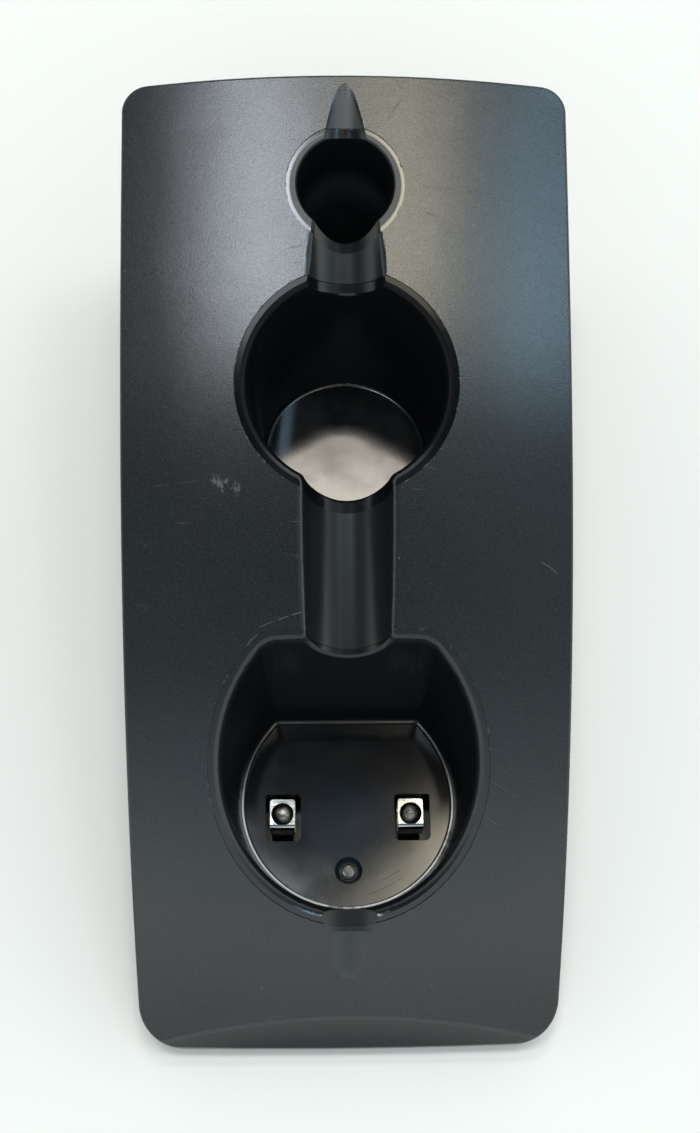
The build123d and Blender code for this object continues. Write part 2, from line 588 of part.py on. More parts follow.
# ----------------------------------------------------------------- contacts
for side, name in ((1, "right"), (-1, "left")):
    cx = side * CONTACT_X + CONTACT_SHIFT
    x0, x1 = cx - STRIP_W / 2, cx + STRIP_W / 2
    low = BEAM_TOP - STRIP_T
    # moving strip: long lower beam, front bend, top leaf
    beam = block(x0, x1, BEND_V, HINGE_V, low, BEAM_TOP)
    riser = block(x0, x1, BEND_V, BEND_V + STRIP_T, low, LEAF_TOP)
    leaf = block(x0, x1, BEND_V, LEAF_TIP_V, LEAF_TOP - STRIP_T, LEAF_TOP)
    strip = one(beam + riser + leaf)
    outer_bends = [e for e in strip.edges()
                   if abs(e.center().Y - BEND_V) < 1e-6 and abs(e.bounding_box().size.X - STRIP_W) < 1e-3]
    inner_bends = [e for e in strip.edges()
                   if abs(e.center().Y - BEND_V - STRIP_T) < 1e-6
                   and abs(e.bounding_box().size.X - STRIP_W) < 1e-3]
    strip = strip.fillet(BEND_R, outer_bends)
    inner_bends = [e for e in strip.edges()
                   if abs(e.center().Y - BEND_V - STRIP_T) < 1e-6
                   and abs(e.bounding_box().size.X - STRIP_W) < 1e-3]
    strip = strip.fillet(BEND_R - STRIP_T, inner_bends)
    tip = [e for e in strip.edges()
           if abs(e.center().Y - LEAF_TIP_V) < 1e-6 and e.bounding_box().size.Z > 0.3]
    strip = strip.fillet(0.5, tip)
    strip = strip - rod(cx, DOME_V, LEAF_TOP - 1, LEAF_TOP + 1, DOME_SHANK_R + 0.02)
    save("contact_spring_" + name, WELL * one(strip))
    # dome: a rivet through the leaf
    cap_h = DOME_TOP - LEAF_TOP - 0.4
    R = (DOME_R ** 2 + cap_h ** 2) / (2 * cap_h)
    dome = rod(cx, DOME_V, LEAF_TOP, LEAF_TOP + 0.4, DOME_R)
    ball = Pos(cx, DOME_V, DOME_TOP - R) * Sphere(R)
    dome = dome + (ball & rod(cx, DOME_V, LEAF_TOP + 0.4, DOME_TOP + 1, DOME_R + 0.5))
    dome = dome + rod(cx, DOME_V, LEAF_TOP - STRIP_T, LEAF_TOP, DOME_SHANK_R)
    dome = dome + rod(cx, DOME_V, LEAF_TOP - STRIP_T - 0.5, LEAF_TOP - STRIP_T, 1.5)
    save("contact_dome_" + name, WELL * one(dome))
    # fixed root of the strip, on its terminal
    root = block(x0, x1, HINGE_V, ROOT_V1, low, BEAM_TOP) - rod(cx, RIVET_V, low - 1, BEAM_TOP + 1, RIVET_R + 0.02)
    save("contact_root_" + name, WELL * one(root))
    t0, t1 = LEG_VS[0], LEG_VS[1] + TAB_T
    term = block(x0, x1, t0, t1, low - TAB_T, low)
    for v in LEG_VS:
        term = term + block(x0, x1, v, v + TAB_T, BOARD_TOP, low)
        term = term + block(cx - 0.75, cx + 0.75, v, v + TAB_T, BOARD_TOP - BOARD_T - 0.6, BOARD_TOP)
    term = term - rod(cx, RIVET_V, low - 1, BEAM_TOP + 1, RIVET_R + 0.02)
    save("contact_terminal_" + name, WELL * one(term))

rivets = []
for side in (1, -1):
    cx = side * CONTACT_X + CONTACT_SHIFT
    low = BEAM_TOP - STRIP_T - TAB_T
    r = rod(cx, RIVET_V, low, BEAM_TOP, RIVET_R) \
        + rod(cx, RIVET_V, BEAM_TOP, BEAM_TOP + RIVET_HEAD_H, RIVET_HEAD_R) \
        + rod(cx, RIVET_V, low - 0.4, low, 1.15)
    rivets.append(WELL * one(r))
save("terminal_rivets", *rivets)

# ---------------------------------------------------------------- indicator
pipe_top = DEE_FLOOR - LIGHT_DEPTH + 0.35
pipe_r = LIGHT_HOLE_R - 0.04
pipe = rod(0, LIGHT_V, -36.4, pipe_top, pipe_r)
pipe = pipe.fillet(0.6, [e for e in pipe.edges() if abs(e.center().Z - pipe_top) < 1e-6])
pipe = pipe + rod(0, LIGHT_V, DEE_FLOOR - CUP_WALL - 0.9, DEE_FLOOR - CUP_WALL, 2.3)
save("indicator_light_pipe", WELL * one(pipe))
led = block(-1.75, 1.75, LIGHT_V - 1.4, LIGHT_V + 1.4, BOARD_TOP, BOARD_TOP + 1.3)
led = led + Pos(0, LIGHT_V, BOARD_TOP + 1.3) * Cone(1.2, 1.0, 0.4, align=(Align.CENTER, Align.CENTER, Align.MIN))
save("indicator_led", WELL * one(led))

# --------------------------------------------------------- board components
cap = rod(-4.0, -23.0, BOARD_TOP + 0.5, BOARD_TOP + 5.3, 2.5)
cap = cap.fillet(0.3, [e for e in cap.edges() if abs(e.center().Z - BOARD_TOP - 5.3) < 1e-6])
cap = cap + block(-6.65, -1.35, -25.65, -20.35, BOARD_TOP, BOARD_TOP + 0.5)
save("filter_capacitor", WELL * one(cap))
diode = block(2.4, 6.7, -22.3, -19.7, BOARD_TOP + 0.2, BOARD_TOP + 2.2)
diode = diode.chamfer(0.3, None, [e for e in diode.edges() if abs(e.center().Z - BOARD_TOP - 2.2) < 1e-6])
diode = diode + block(1.9, 7.2, -21.8, -20.2, BOARD_TOP, BOARD_TOP + 0.4)
save("rectifier_diode", WELL * one(diode))
save("series_resistors",
     WELL * block(2.9, 6.1, -27.6, -26.0, BOARD_TOP, BOARD_TOP + 0.6),
     WELL * block(2.9, 6.1, -31.6, -30.0, BOARD_TOP, BOARD_TOP + 0.6))

# ------------------------------------------------------- header and lead plug
header = block(-4.0, 4.0, -15.0, -8.2, BOARD_TOP, -33.9) - block(-3.05, 3.05, -14.0, -7.0, -37.95, -34.55)
pins, plug_holes = [], []
for side in (1, -1):
    x = side * LEAD_PITCH / 2
    header = header - block(x - 0.26, x + 0.26, -16.0, -13.0, LEAD_W - 0.26, LEAD_W + 0.26)
    pin = block(x - 0.25, x + 0.25, -16.25, -10.0, LEAD_W - 0.25, LEAD_W + 0.25) \
        + block(x - 0.25, x + 0.25, -16.25, -15.75, BOARD_TOP - BOARD_T - 0.6, LEAD_W + 0.25)
    pins.append(WELL * one(pin))
save("board_header", WELL * one(header))
save("header_pins", *pins)
plug = block(-3.0, 3.0, -13.5, -4.5, -37.9, -34.6)
for side in (1, -1):
    x = side * LEAD_PITCH / 2
    plug = plug - block(x - 0.3, x + 0.3, -14.0, -9.4, LEAD_W - 0.3, LEAD_W + 0.3)
    hole = Solid.make_cylinder(LEAD_R + 0.05, 4.0,
                               Plane(origin=(x, -7.5, LEAD_W), x_dir=(1, 0, 0), z_dir=(0, 1, 0)))
    plug = plug - hole
save("lead_plug", WELL * one(plug))

# -------------------------------------------------------------------- inlet
jack = block(-JACK_HALF_W, JACK_HALF_W, JACK_Y0, JACK_Y1, JACK_Z - JACK_HALF_H, JACK_Z + JACK_HALF_H)
jack = jack.chamfer(0.4, None, [e for e in jack.edges() if e.bounding_box().size.Y > 10])
jack = jack + rod_y(0, JACK_Y1 - 0.5, COLLAR_Y1, JACK_Z, COLLAR_R)
jack = jack - rod_y(0, COLLAR_Y1 - BORE_DEPTH, COLLAR_Y1 + 1, JACK_Z, BORE_R)
jack = jack - rod_y(0, JACK_Y0 - 1, COLLAR_Y1 - 2, JACK_Z, 0.77)
jack = jack - block(-1.3, 1.3, JACK_Y0 - 1, 79.0, JACK_Z + 2.0, JACK_Z + 4.2)
jack = jack + block(-1.3, 1.3, JACK_Y0, COLLAR_Y1 - BORE_DEPTH, JACK_Z + 2.0, JACK_Z + 3.3)
save("dc_jack_body", one(jack))
pin = rod_y(0, COLLAR_Y1 - BORE_DEPTH, PIN_Y1, JACK_Z, PIN_R)
pin = pin.fillet(0.6, [e for e in pin.edges() if abs(e.center().Y - PIN_Y1) < 1e-6])
pin = pin + rod_y(0, TAG_Y, COLLAR_Y1 - BORE_DEPTH, JACK_Z, 0.75)
save("dc_jack_pin", one(pin))
zt = JACK_Z + 4.2
path = [(TAG_Y, zt), (72.0, zt), (75.5, JACK_Z + 2.95), (78.6, JACK_Z + 3.9),
        (78.6, JACK_Z + 3.6), (75.5, JACK_Z + 2.6), (72.0, zt - 0.35), (TAG_Y, zt - 0.35)]
prof = Polyline(*[(0, y, z) for y, z in path], close=True)
leaf = Solid.extrude(Face(Wire(prof.edges())), (2.2, 0, 0))
save("dc_jack_sleeve_spring", Pos(-1.1, 0, 0) * leaf)

# retainer strapped over the inlet
zr = JACK_Z + JACK_HALF_H + 0.05
ret = block(-6.15, 6.15, 70.2, 75.8, zr, zr + 1.5)
for s in (1, -1):
    xs = sorted((s * 4.65, s * 6.15))
    xt = sorted((s * 4.65, s * 12.5))
    ret = ret + block(xs[0], xs[1], 70.2, 75.8, 8.0, zr + 1.5)
    ret = ret + block(xt[0], xt[1], 70.2, 75.8, 8.0, 9.5)
for s in (1, -1):
    ret = ret - rod(s * 9.5, 73.0, 7, 11, SMALL_SCREW_R + 0.1)
save("jack_retainer", one(ret))
save("jack_retainer_screws", *[Pos(s * 9.5, 73.0, 9.5) * Rot(180, 0, 0)
                               * pan_screw(SMALL_HEAD_R, 1.3, SMALL_SCREW_R, SMALL_SCREW_L)
                               for s in (1, -1)])

# -------------------------------------------------------------------- leads
def lead(name, side, x_end, z_end):
    start = at(side * LEAD_PITCH / 2, -7.5, LEAD_W)
    turn = at(side * LEAD_PITCH / 2, 7.0, LEAD_W)
    pts = [start, turn, (side * 0.75, 14.0, 4.9), (side * 0.72, 41.0, 4.95),
           (x_end + side * 0.2, 55.0, z_end), (x_end, TAG_Y, z_end)]
    radii = []
    for i in range(1, len(pts) - 1):
        a, b, c = Vector(*pts[i - 1]), Vector(*pts[i]), Vector(*pts[i + 1])
        half = math.radians((b - a).get_angle(c - b)) / 2
        radii.append(0.45 * min((b - a).length, (c - b).length) / math.tan(half))
    line = FilletPolyline(*pts, radius=radii)
    wire = Wire(line.edges())
    d = Vector(*pts[1]) - Vector(*pts[0])
    prof = Face(Wire(Edge.make_circle(LEAD_R, Plane(origin=pts[0], z_dir=d))))
    tube = Solid.sweep(prof, wire)
    print(name, "radii", [round(r, 1) for r in radii], "volume", round(tube.volume, 2),
          "section x length", round(math.pi * LEAD_R ** 2 * wire.length, 2), tube.is_valid)
    save(name, tube)


lead("lead_positive", 1, 0.0, JACK_Z)
lead("lead_negative", -1, 0.0, JACK_Z + 4.2 - 0.175)
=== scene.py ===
import math
import bmesh
import bpy
from mathutils import Matrix, Vector

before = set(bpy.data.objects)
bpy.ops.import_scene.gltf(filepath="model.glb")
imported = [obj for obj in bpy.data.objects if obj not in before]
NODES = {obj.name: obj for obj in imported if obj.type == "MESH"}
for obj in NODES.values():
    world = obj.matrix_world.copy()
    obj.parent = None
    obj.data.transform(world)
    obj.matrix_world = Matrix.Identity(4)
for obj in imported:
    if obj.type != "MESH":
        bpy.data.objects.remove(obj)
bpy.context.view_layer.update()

# ------------------------------------------------------------ shared geometry
# The wells lean back by LEAN. x across, v rearward, w along the wells' axis, mm.
LEAN = math.radians(5.0)
S5, C5 = math.sin(LEAN), math.cos(LEAN)
WELL_Y0, WELL_Z0 = -11.7, 43.35
FACE = (0.4083, -0.002377, 1.305e-5, 0.00177)


def at(x, v, w):
    """A point of the well frame in metres of the object's frame."""
    return Vector((x, v * C5 + w * S5 + WELL_Y0, -v * S5 + w * C5 + WELL_Z0)) / 1000.0


def turn(x, v, w):
    return Vector((x, v * C5 + w * S5, -v * S5 + w * C5))


# --------------------------------------------------------------------- camera
def make_camera():
    tau, yaw, roll = 0.4265693703953167, 0.022560661341781547, 0.004937662645031763
    tx, ty, dist, f_px = -0.23361, -6.09175, 254.93313, 1500.0
    c, s = math.cos(tau), math.sin(tau)
    R, U, C = Vector((1, 0, 0)), Vector((0, c, s)), Vector((0, -s, c))
    side = R * math.cos(yaw) + C * math.sin(yaw)
    right = side * math.cos(roll) - U * math.sin(roll)
    up = side * math.sin(roll) + U * math.cos(roll)
    back = -R * math.sin(yaw) + C * math.cos(yaw)
    q = right * -tx + up * -ty + back * dist
    pos = at(*q)
    r, u, b = turn(*right), turn(*up), turn(*back)
    cam = bpy.data.cameras.new("camera")
    ob = bpy.data.objects.new("camera", cam)
    bpy.context.collection.objects.link(ob)
    m = Matrix(((r.x, u.x, b.x, pos.x), (r.y, u.y, b.y, pos.y), (r.z, u.z, b.z, pos.z), (0, 0, 0, 1)))
    ob.matrix_world = m
    cam.sensor_fit = "AUTO"
    cam.sensor_width = 36.0
    cam.lens = f_px * 36.0 / 1133.0
    cam.clip_start = 0.01
    cam.clip_end = 20.0
    cam.dof.use_dof = False
    bpy.context.scene.camera = ob
    return ob


camera = make_camera()


# --------------------------------------------------------- node-graph helpers
class E:
    """A value in a node graph, with arithmetic."""

    def __init__(self, nt, sock):
        self.nt, self.sock = nt, sock

    def _op(self, op, *others, clamp=False):
        n = self.nt.nodes.new("ShaderNodeMath")
        n.operation = op
        n.use_clamp = clamp
        for i, o in enumerate((self,) + others):
            if isinstance(o, E):
                self.nt.links.new(o.sock, n.inputs[i])
            else:
                n.inputs[i].default_value = float(o)
        return E(self.nt, n.outputs[0])

    def _rev(self, op, other):
        n = self.nt.nodes.new("ShaderNodeMath")
        n.operation = op
        n.inputs[0].default_value = float(other)
        self.nt.links.new(self.sock, n.inputs[1])
        return E(self.nt, n.outputs[0])

    def __add__(self, o): return self._op("ADD", o)
    def __radd__(self, o): return self._op("ADD", o)
    def __sub__(self, o): return self._op("SUBTRACT", o)
    def __rsub__(self, o): return self._rev("SUBTRACT", o)
    def __mul__(self, o): return self._op("MULTIPLY", o)
    def __rmul__(self, o): return self._op("MULTIPLY", o)
    def __truediv__(self, o): return self._op("DIVIDE", o)
    def __neg__(self): return self._op("MULTIPLY", -1.0)
    def sqrt(self): return self._op("SQRT")
    def abs(self): return self._op("ABSOLUTE")
    def max(self, o): return self._op("MAXIMUM", o)
    def min(self, o): return self._op("MINIMUM", o)
    def pow(self, o): return self._op("POWER", o)
    def clamp(self): return self._op("MULTIPLY", 1.0, clamp=True)

    def step(self, lo, hi):
        """0 below lo, 1 above hi, smooth between."""
        n = self.nt.nodes.new("ShaderNodeMapRange")
        n.interpolation_type = "SMOOTHSTEP"
        self.nt.links.new(self.sock, n.inputs["Value"])
        rev = lo > hi
        n.inputs["From Min"].default_value = min(lo, hi)
        n.inputs["From Max"].default_value = max(lo, hi)
        n.inputs["To Min"].default_value = 1.0 if rev else 0.0
        n.inputs["To Max"].default_value = 0.0 if rev else 1.0
        return E(self.nt, n.outputs["Result"])

    def band(self, centre, half, soft):
        return (self - centre).abs().step(half + soft, half)


def hyp(a, b):
    return (a * a + b * b).sqrt()


class Mat:
    """A principled material with procedural inputs in object coordinates."""

    def __init__(self, name):
        self.m = bpy.data.materials.new(name)
        self.m.use_nodes = True
        self.nt = self.m.node_tree
        self.bsdf = next(n for n in self.nt.nodes if n.type == "BSDF_PRINCIPLED")
        self.tc = self.nt.nodes.new("ShaderNodeTexCoord")
        self.obj = self.tc.outputs["Object"]

    def dot(self, vec, k=1000.0, add=0.0):
        n = self.nt.nodes.new("ShaderNodeVectorMath")
        n.operation = "DOT_PRODUCT"
        self.nt.links.new(self.obj, n.inputs[0])
        n.inputs[1].default_value = [c * k for c in vec]
        return E(self.nt, n.outputs["Value"]) + add

    def coords(self):
        """x, v, w of the well frame, mm."""
        x = self.dot((1, 0, 0))
        v = self.dot((0, C5, -S5), add=-(WELL_Y0 * C5 - WELL_Z0 * S5))
        w = self.dot((0, S5, C5), add=-(WELL_Y0 * S5 + WELL_Z0 * C5))
        return x, v, w

    def noise(self, scale, detail=2.0, rough=0.5, distort=0.0, stretch=None, offset=(0, 0, 0)):
        vec = self.obj
        if stretch or any(offset):
            mp = self.nt.nodes.new("ShaderNodeMapping")
            mp.inputs["Scale"].default_value = stretch or (1, 1, 1)
            mp.inputs["Location"].default_value = offset
            self.nt.links.new(vec, mp.inputs["Vector"])
            vec = mp.outputs["Vector"]
        n = self.nt.nodes.new("ShaderNodeTexNoise")
        n.inputs["Scale"].default_value = scale
        n.inputs["Detail"].default_value = detail
        n.inputs["Roughness"].default_value = rough
        n.inputs["Distortion"].default_value = distort
        self.nt.links.new(vec, n.inputs["Vector"])
        return E(self.nt, n.outputs["Fac"])

    def voronoi(self, scale, feature="F1", stretch=None, offset=(0, 0, 0), rand=1.0):
        vec = self.obj
        if stretch or any(offset):
            mp = self.nt.nodes.new("ShaderNodeMapping")
            mp.inputs["Scale"].default_value = stretch or (1, 1, 1)
            mp.inputs["Location"].default_value = offset
            self.nt.links.new(vec, mp.inputs["Vector"])
            vec = mp.outputs["Vector"]
        n = self.nt.nodes.new("ShaderNodeTexVoronoi")
        n.feature = feature
        n.inputs["Scale"].default_value = scale
        n.inputs["Randomness"].default_value = rand
        self.nt.links.new(vec, n.inputs["Vector"])
        return E(self.nt, n.outputs["Distance"])

    def value(self, name, e):
        self.nt.links.new(e.sock, self.bsdf.inputs[name])

    def const(self, **kw):
        for k, val in kw.items():
            s = self.bsdf.inputs[k.replace("_", " ")]
            s.default_value = (*val, 1.0) if isinstance(val, (tuple, list)) and len(val) == 3 else val

    def colour(self, fac, stops):
        """Colour ramp over fac."""
        n = self.nt.nodes.new("ShaderNodeValToRGB")
        cr = n.color_ramp
        while len(cr.elements) < len(stops):
            cr.elements.new(0.5)
        for el, (p, c) in zip(cr.elements, stops):
            el.position = p
            el.color = (*c, 1.0)
        self.nt.links.new(fac.sock, n.inputs["Fac"])
        return n.outputs["Color"]

    def mix(self, fac, a, b):
        n = self.nt.nodes.new("ShaderNodeMix")
        n.data_type = "RGBA"
        self.nt.links.new(fac.sock, n.inputs["Factor"])
        for sock, val in ((n.inputs[6], a), (n.inputs[7], b)):
            if isinstance(val, tuple):
                sock.default_value = (*val, 1.0)
            else:
                self.nt.links.new(val, sock)
        return n.outputs[2]

    def base(self, sock):
        self.nt.links.new(sock, self.bsdf.inputs["Base Color"])

    def bump(self, height, strength, dist, prev=None):
        n = self.nt.nodes.new("ShaderNodeBump")
        n.inputs["Strength"].default_value = strength
        n.inputs["Distance"].default_value = dist
        self.nt.links.new(height.sock, n.inputs["Height"])
        if prev is not None:
            self.nt.links.new(prev, n.inputs["Normal"])
        return n.outputs["Normal"]

    def normal(self, sock):
        self.nt.links.new(sock, self.bsdf.inputs["Normal"])


def assign(node, mat):
    ob = NODES[node]
    m = mat.m if isinstance(mat, Mat) else mat
    if not ob.material_slots:
        ob.data.materials.append(m)
    for s in ob.material_slots:
        s.material = m


# ------------------------------------------------------------ casing material
def segment(x, v, x0, v0, x1, v1, half, soft, bend=0.0):
    """Mask of a short line on the casing, from (x0, v0) to (x1, v1)."""
    dx, dv = x1 - x0, v1 - v0
    n = math.hypot(dx, dv)
    t = ((x - x0) * (dx / n) + (v - v0) * (dv / n))
    s = ((v - v0) * (dx / n) - (x - x0) * (dv / n))
    if bend:
        u = t * (1.0 / n)
        s = s - u * (1.0 - u) * bend
    inside = t.step(-0.3, 0.5) * t.step(n + 0.3, n - 0.5)
    return s.abs().step(half + soft, half) * inside


def casing_material():
    M = Mat("case_top_plastic")
    x, v, w = M.coords()
    ax = x.abs()
    a1, a2, a3, cr = FACE
    fw = v * a1 + v * v * a2 + v * v * v * a3 - x * x * cr     # the face's level here
    below = fw - w                                             # depth under the face
    # round wells: distance outside the step round the lip (negative inside)
    mid = hyp(x, v - 35.955) - (w * .0965 + (14.95 + .0965 * 13.7 + 2.17))
    rear = hyp(x, v - 70.904) - (w * .0505 + (7.49 + 1.99))
    # D-shaped well: the same for its own outline
    off = (w + 30.4) * .185 + .35
    dv = v + 27.55
    ro = off + 2.05
    c = ro * 0.5 + 1.5
    fl = off * 1.16 + 16.95
    yc = fl - c
    xc = ((ro + 22.15 - c).pow(2.0) - yc * yc).max(0.0).sqrt() - 3.4
    corner_d = hyp(ax - xc, dv - yc) - c
    side_d = hyp(ax + 3.4, dv) - ro - 22.15
    flat_d = dv - fl
    near_corner = (ax - xc).step(0.0, 0.001) * (dv - yc).step(0.0, 0.001)
    rear_half = side_d.max(flat_d) * (1.0 - near_corner) + corner_d.max(side_d) * near_corner
    front_d = hyp(x, dv) - ro - 18.75
    is_rear = dv.step(-0.01, 0.01)
    dee = rear_half * is_rear + front_d * (1.0 - is_rear)
    # groove between the wells is smooth; its two ends carry the face's texture
    ga_mid = (w - v * .2740 - 1.30) / math.sqrt(1 + .274 ** 2)
    ga_rear = (w - v * .4010 + 0.84) / math.sqrt(1 + .401 ** 2)
    behind = v.step(35.9, 36.1)
    groove = hyp(x, ga_mid * (1.0 - behind) + ga_rear * behind) - 7.75
    between = v.step(-14.0, -13.0) * v.step(68.0, 67.0)
    groove_in = groove.step(0.05, -0.05) * below.step(0.10, 0.30) * between
    in_mid = mid.step(0.03, -0.03)
    in_rear = rear.step(0.03, -0.03)
    in_dee = dee.step(0.03, -0.03)
    well = in_mid.max(in_rear).max(in_dee)
    deep_dee = in_dee * below.step(1.0, 2.6).max(v.step(-33.0, -44.0))
    upper = v.step(-44.0, -33.0)
    lip_dee = in_dee * below.step(2.6, 1.0) * upper
    ring_mid = in_mid * below.step(3.5, 2.0)
    # ledge round the front well's floor
    dvf = v + 26.6
    fr = dvf.step(0.01, -0.01)
    edge_d = (hyp(x, dvf) - 18.75) * fr + (hyp(ax + 3.4, dvf) - 22.15) * (1.0 - fr)
    ledge = edge_d.step(-0.03, 0.05) * edge_d.step(0.42, 0.30) * in_dee * w.step(-29.6, -29.8)
    floor_dee = in_dee * w.step(-29.7, -30.2)
    floor_mid = in_mid * w.step(-13.1, -13.5)
    run_out = groove.step(0.05, -0.05) * below.step(0.10, 0.30) * v.step(74.0, 77.0)
    deep = in_mid.max(in_rear * below.step(0.45, 0.9)).max(deep_dee)
    textured = (1.0 - well) * (1.0 - groove_in)

    # colour: dark charcoal with slow, faint tone changes and a fine spark in it
    slow = M.noise(28.0, 3.0, 0.55)
    fine = M.noise(3900.0, 2.0, 0.6)
    spark = M.voronoi(3600.0, "F1", rand=1.0)
    tone = M.colour(slow, [(0.30, (0.0085, 0.0104, 0.0112)), (0.70, (0.0125, 0.0146, 0.0152))])
    sparkle = ((fine - 0.45) * 2.2 + (0.45 - spark) * 0.8).clamp() * textured
    col = M.mix(sparkle * 0.70, tone, (0.036, 0.040, 0.042))
    # painted sheen: the groove's rear run-out is lifted to a lighter grey
    col = M.mix(run_out * 0.8, col, (0.034, 0.035, 0.034))
    col = M.mix(deep.max(groove_in * 0.20), col, (0.0038, 0.0043, 0.0054))
    # painted light: the rear well is painted lighter and bluer from 8 to 14 mm under the face
    col = M.mix(in_rear * below.step(8.0, 14.0), col, (0.030, 0.036, 0.040))

    # wear: one scuff, a few short scratches, faint hairlines and light dots
    scr = M.voronoi(34.0, "DISTANCE_TO_EDGE", stretch=(1.0, 5.5, 1.0), offset=(0.013, 0.4, 0.2))
    gate = M.noise(90.0, 2.0, 0.5, offset=(1.3, 0.2, 0.7)).step(0.63, 0.69)
    hair = scr.step(0.008, 0.002) * gate * textured
    dx = x + 21.0
    dvv = v - 19.3 + dx * 0.32
    scuff_n = M.noise(1100.0, 3.0, 0.65, stretch=(1.0, 0.5, 1.0))
    scuff = hyp(dx * 0.70, dvv * 1.7).step(3.1, 0.7) * scuff_n.step(0.46, 0.62) * textured
    cuts = segment(x, v, 33.0, 7.0, 36.1, 5.2, 0.06, 0.07, 0.8)
    for seg in ((-15.4, -3.8, -7.9, -1.4, 0.03, 0.06, 0.6), (7.7, 83.0, 10.2, 86.3, 0.05, 0.07, 0.4),
                (20.7, -32.1, 25.9, -34.1, 0.03, 0.06, 0.5), (29.0, -30.0, 24.5, -27.5, 0.02, 0.05, -0.4),
                (-29.0, 44.0, -27.2, 47.5, 0.02, 0.05, 0.3)):
        cuts = cuts.max(segment(x, v, *seg))
    cuts = cuts * textured * M.noise(700.0, 2.0, 0.5, offset=(0.4, 1.1, 0.0)).step(0.36, 0.50)
    speck = M.voronoi(150.0, "F1", offset=(0.31, 0.77, 0.11)).step(0.050, 0.026) \
        * M.noise(60.0, 1.0, offset=(3.1, 0.4, 0.2)).step(0.55, 0.62) * textured
    dot = hyp(x - 8.64, v - 7.04).step(0.28, 0.12)
    wear = (hair * 0.16).max(scuff * 1.0).max(cuts * 0.50).max(speck * 0.30).max(dot * 0.6)
    col = M.mix(wear, col, (0.085, 0.088, 0.090))
    # edges of the steps round the lips, broken by small nicks: a lighter line that is partly rubbed wear and partly a
    # painted highlight
    step_edge_dist = mid.abs().min(rear.abs()).min(dee.abs())
    nick = M.noise(520.0, 2.0, 0.6, offset=(0.7, 0.1, 1.9)).step(0.56, 0.66)
    rim_wear_and_highlight = step_edge_dist.step(0.22, 0.05) * nick * below.step(1.2, 0.5)
    col = M.mix(rim_wear_and_highlight * 0.55, col, (0.075, 0.078, 0.078))
    # handled, dusty floors with arc-shaped wipe marks
    dust = M.noise(240.0, 4.0, 0.6, offset=(0.2, 0.1, 0.0))
    arc = segment(x, v, 2.5, -42.0, 9.2, -38.7, 0.03, 0.08, -1.0)
    arc = arc.max(segment(x, v, 3.4, -43.0, 10.0, -39.9, 0.02, 0.06, -1.1) * 0.6)
    low = v.step(-33.0, -43.0)
    col = M.mix(floor_dee * (dust.step(0.35, 0.75) * (low * 0.42 + 0.04)).max(arc * 0.9), col, (0.019, 0.022, 0.026))
    col = M.mix(floor_mid * dust.step(0.40, 0.70) * 0.40, col, (0.022, 0.021, 0.019))
    # painted sheen: a bluish patch in the middle of the front well's floor
    floor_sheen_patch = hyp(x, v + 31.0).step(12.0, 2.0) * floor_dee
    col = M.mix(floor_sheen_patch * 0.9, col, (0.010, 0.017, 0.027))
    # the chin under the arc at the front: a painted highlight line along its upper edge, and a lower specular level
    # further down the chin
    chin = v.step(-55.0, -57.0) * below.step(0.30, 2.6)
    chin_edge_highlight = v.step(-55.0, -57.0) * below.step(0.10, 0.18) * below.step(0.55, 0.32)
    col = M.mix(chin_edge_highlight * 0.6, col, (0.030, 0.034, 0.036))
    # painted highlight: a near-white line on the ledge round the front well's floor, in its lower half, broken by noise
    ledge_highlight = ledge * v.step(-17.0, -31.0) * M.noise(260.0, 3.0, 0.6, offset=(0.2, 1.4, 0.6)).step(0.28, 0.50)
    col = M.mix(ledge_highlight * 0.85, col, (0.62, 0.63, 0.62))
    M.base(col)

    # gloss
    smudge = M.noise(120.0, 4.0, 0.6, offset=(0.9, 0.3, 0.1))
    r_face = 0.222 + (slow - 0.5) * 0.05 + (fine - 0.5) * 0.08
    ring = in_rear * (rear + (smudge - 0.5) * 0.5).step(-0.85, -0.50)
    r_smooth = 0.245 + (smudge - 0.45) * 0.10 - ring * 0.12 + (in_rear - ring) * 0.12
    r_deep = 0.135 + (smudge - 0.45).max(0.0) * 0.12 + in_dee * 0.05
    r_floor = 0.095 + (smudge - 0.42).max(0.0) * (low * 0.13 + 0.06) + low * 0.025
    r_mid = 0.15 + (smudge - 0.45).max(0.0) * 0.22
    rough = r_face * textured + r_smooth * (1.0 - textured)
    rough = rough + run_out * 0.13
    rough = rough * (1.0 - deep) + r_deep * deep
    rough = rough * (1.0 - lip_dee) + lip_dee * 0.24
    rough = rough * (1.0 - ring_mid) + ring_mid * 0.115
    rough = rough * (1.0 - floor_dee) + r_floor * floor_dee
    rough = rough * (1.0 - floor_mid) + r_mid * floor_mid
    rough = rough + wear * 0.15
    M.value("Roughness", rough.clamp())
    M.const(IOR=1.5)
    foot = floor_dee * (dee + 2.05).step(-3.6, -1.8) * v.step(-31.0, -25.0)
    M.value("Specular IOR Level", 0.5 - chin * 0.27 - floor_dee * 0.10 - foot * 0.34 - ring_mid * v.step(21.0, 27.0) * 0.42)

    # relief: spark texture on the face, faint ripple on the smooth surfaces
    relief = (fine * 0.7 + spark * 0.5) * textured
    n1 = M.bump(relief, 0.50, 0.000026)
    ripple = M.noise(95.0, 2.0, 0.5, offset=(0.5, 0.9, 0.3)) * (1.0 - textured)
    n2 = M.bump(ripple, 0.35, 0.00007, n1)
    marks = (hair * 0.5).max(cuts).max(scuff * 0.4).max(arc * floor_dee * 0.5).max(rim_wear_and_highlight * 0.8) * -1.0
    n3 = M.bump(marks, 0.5, 0.00003, n2)
    M.normal(n3)
    return M


casing = casing_material()
assign("top_housing", casing)


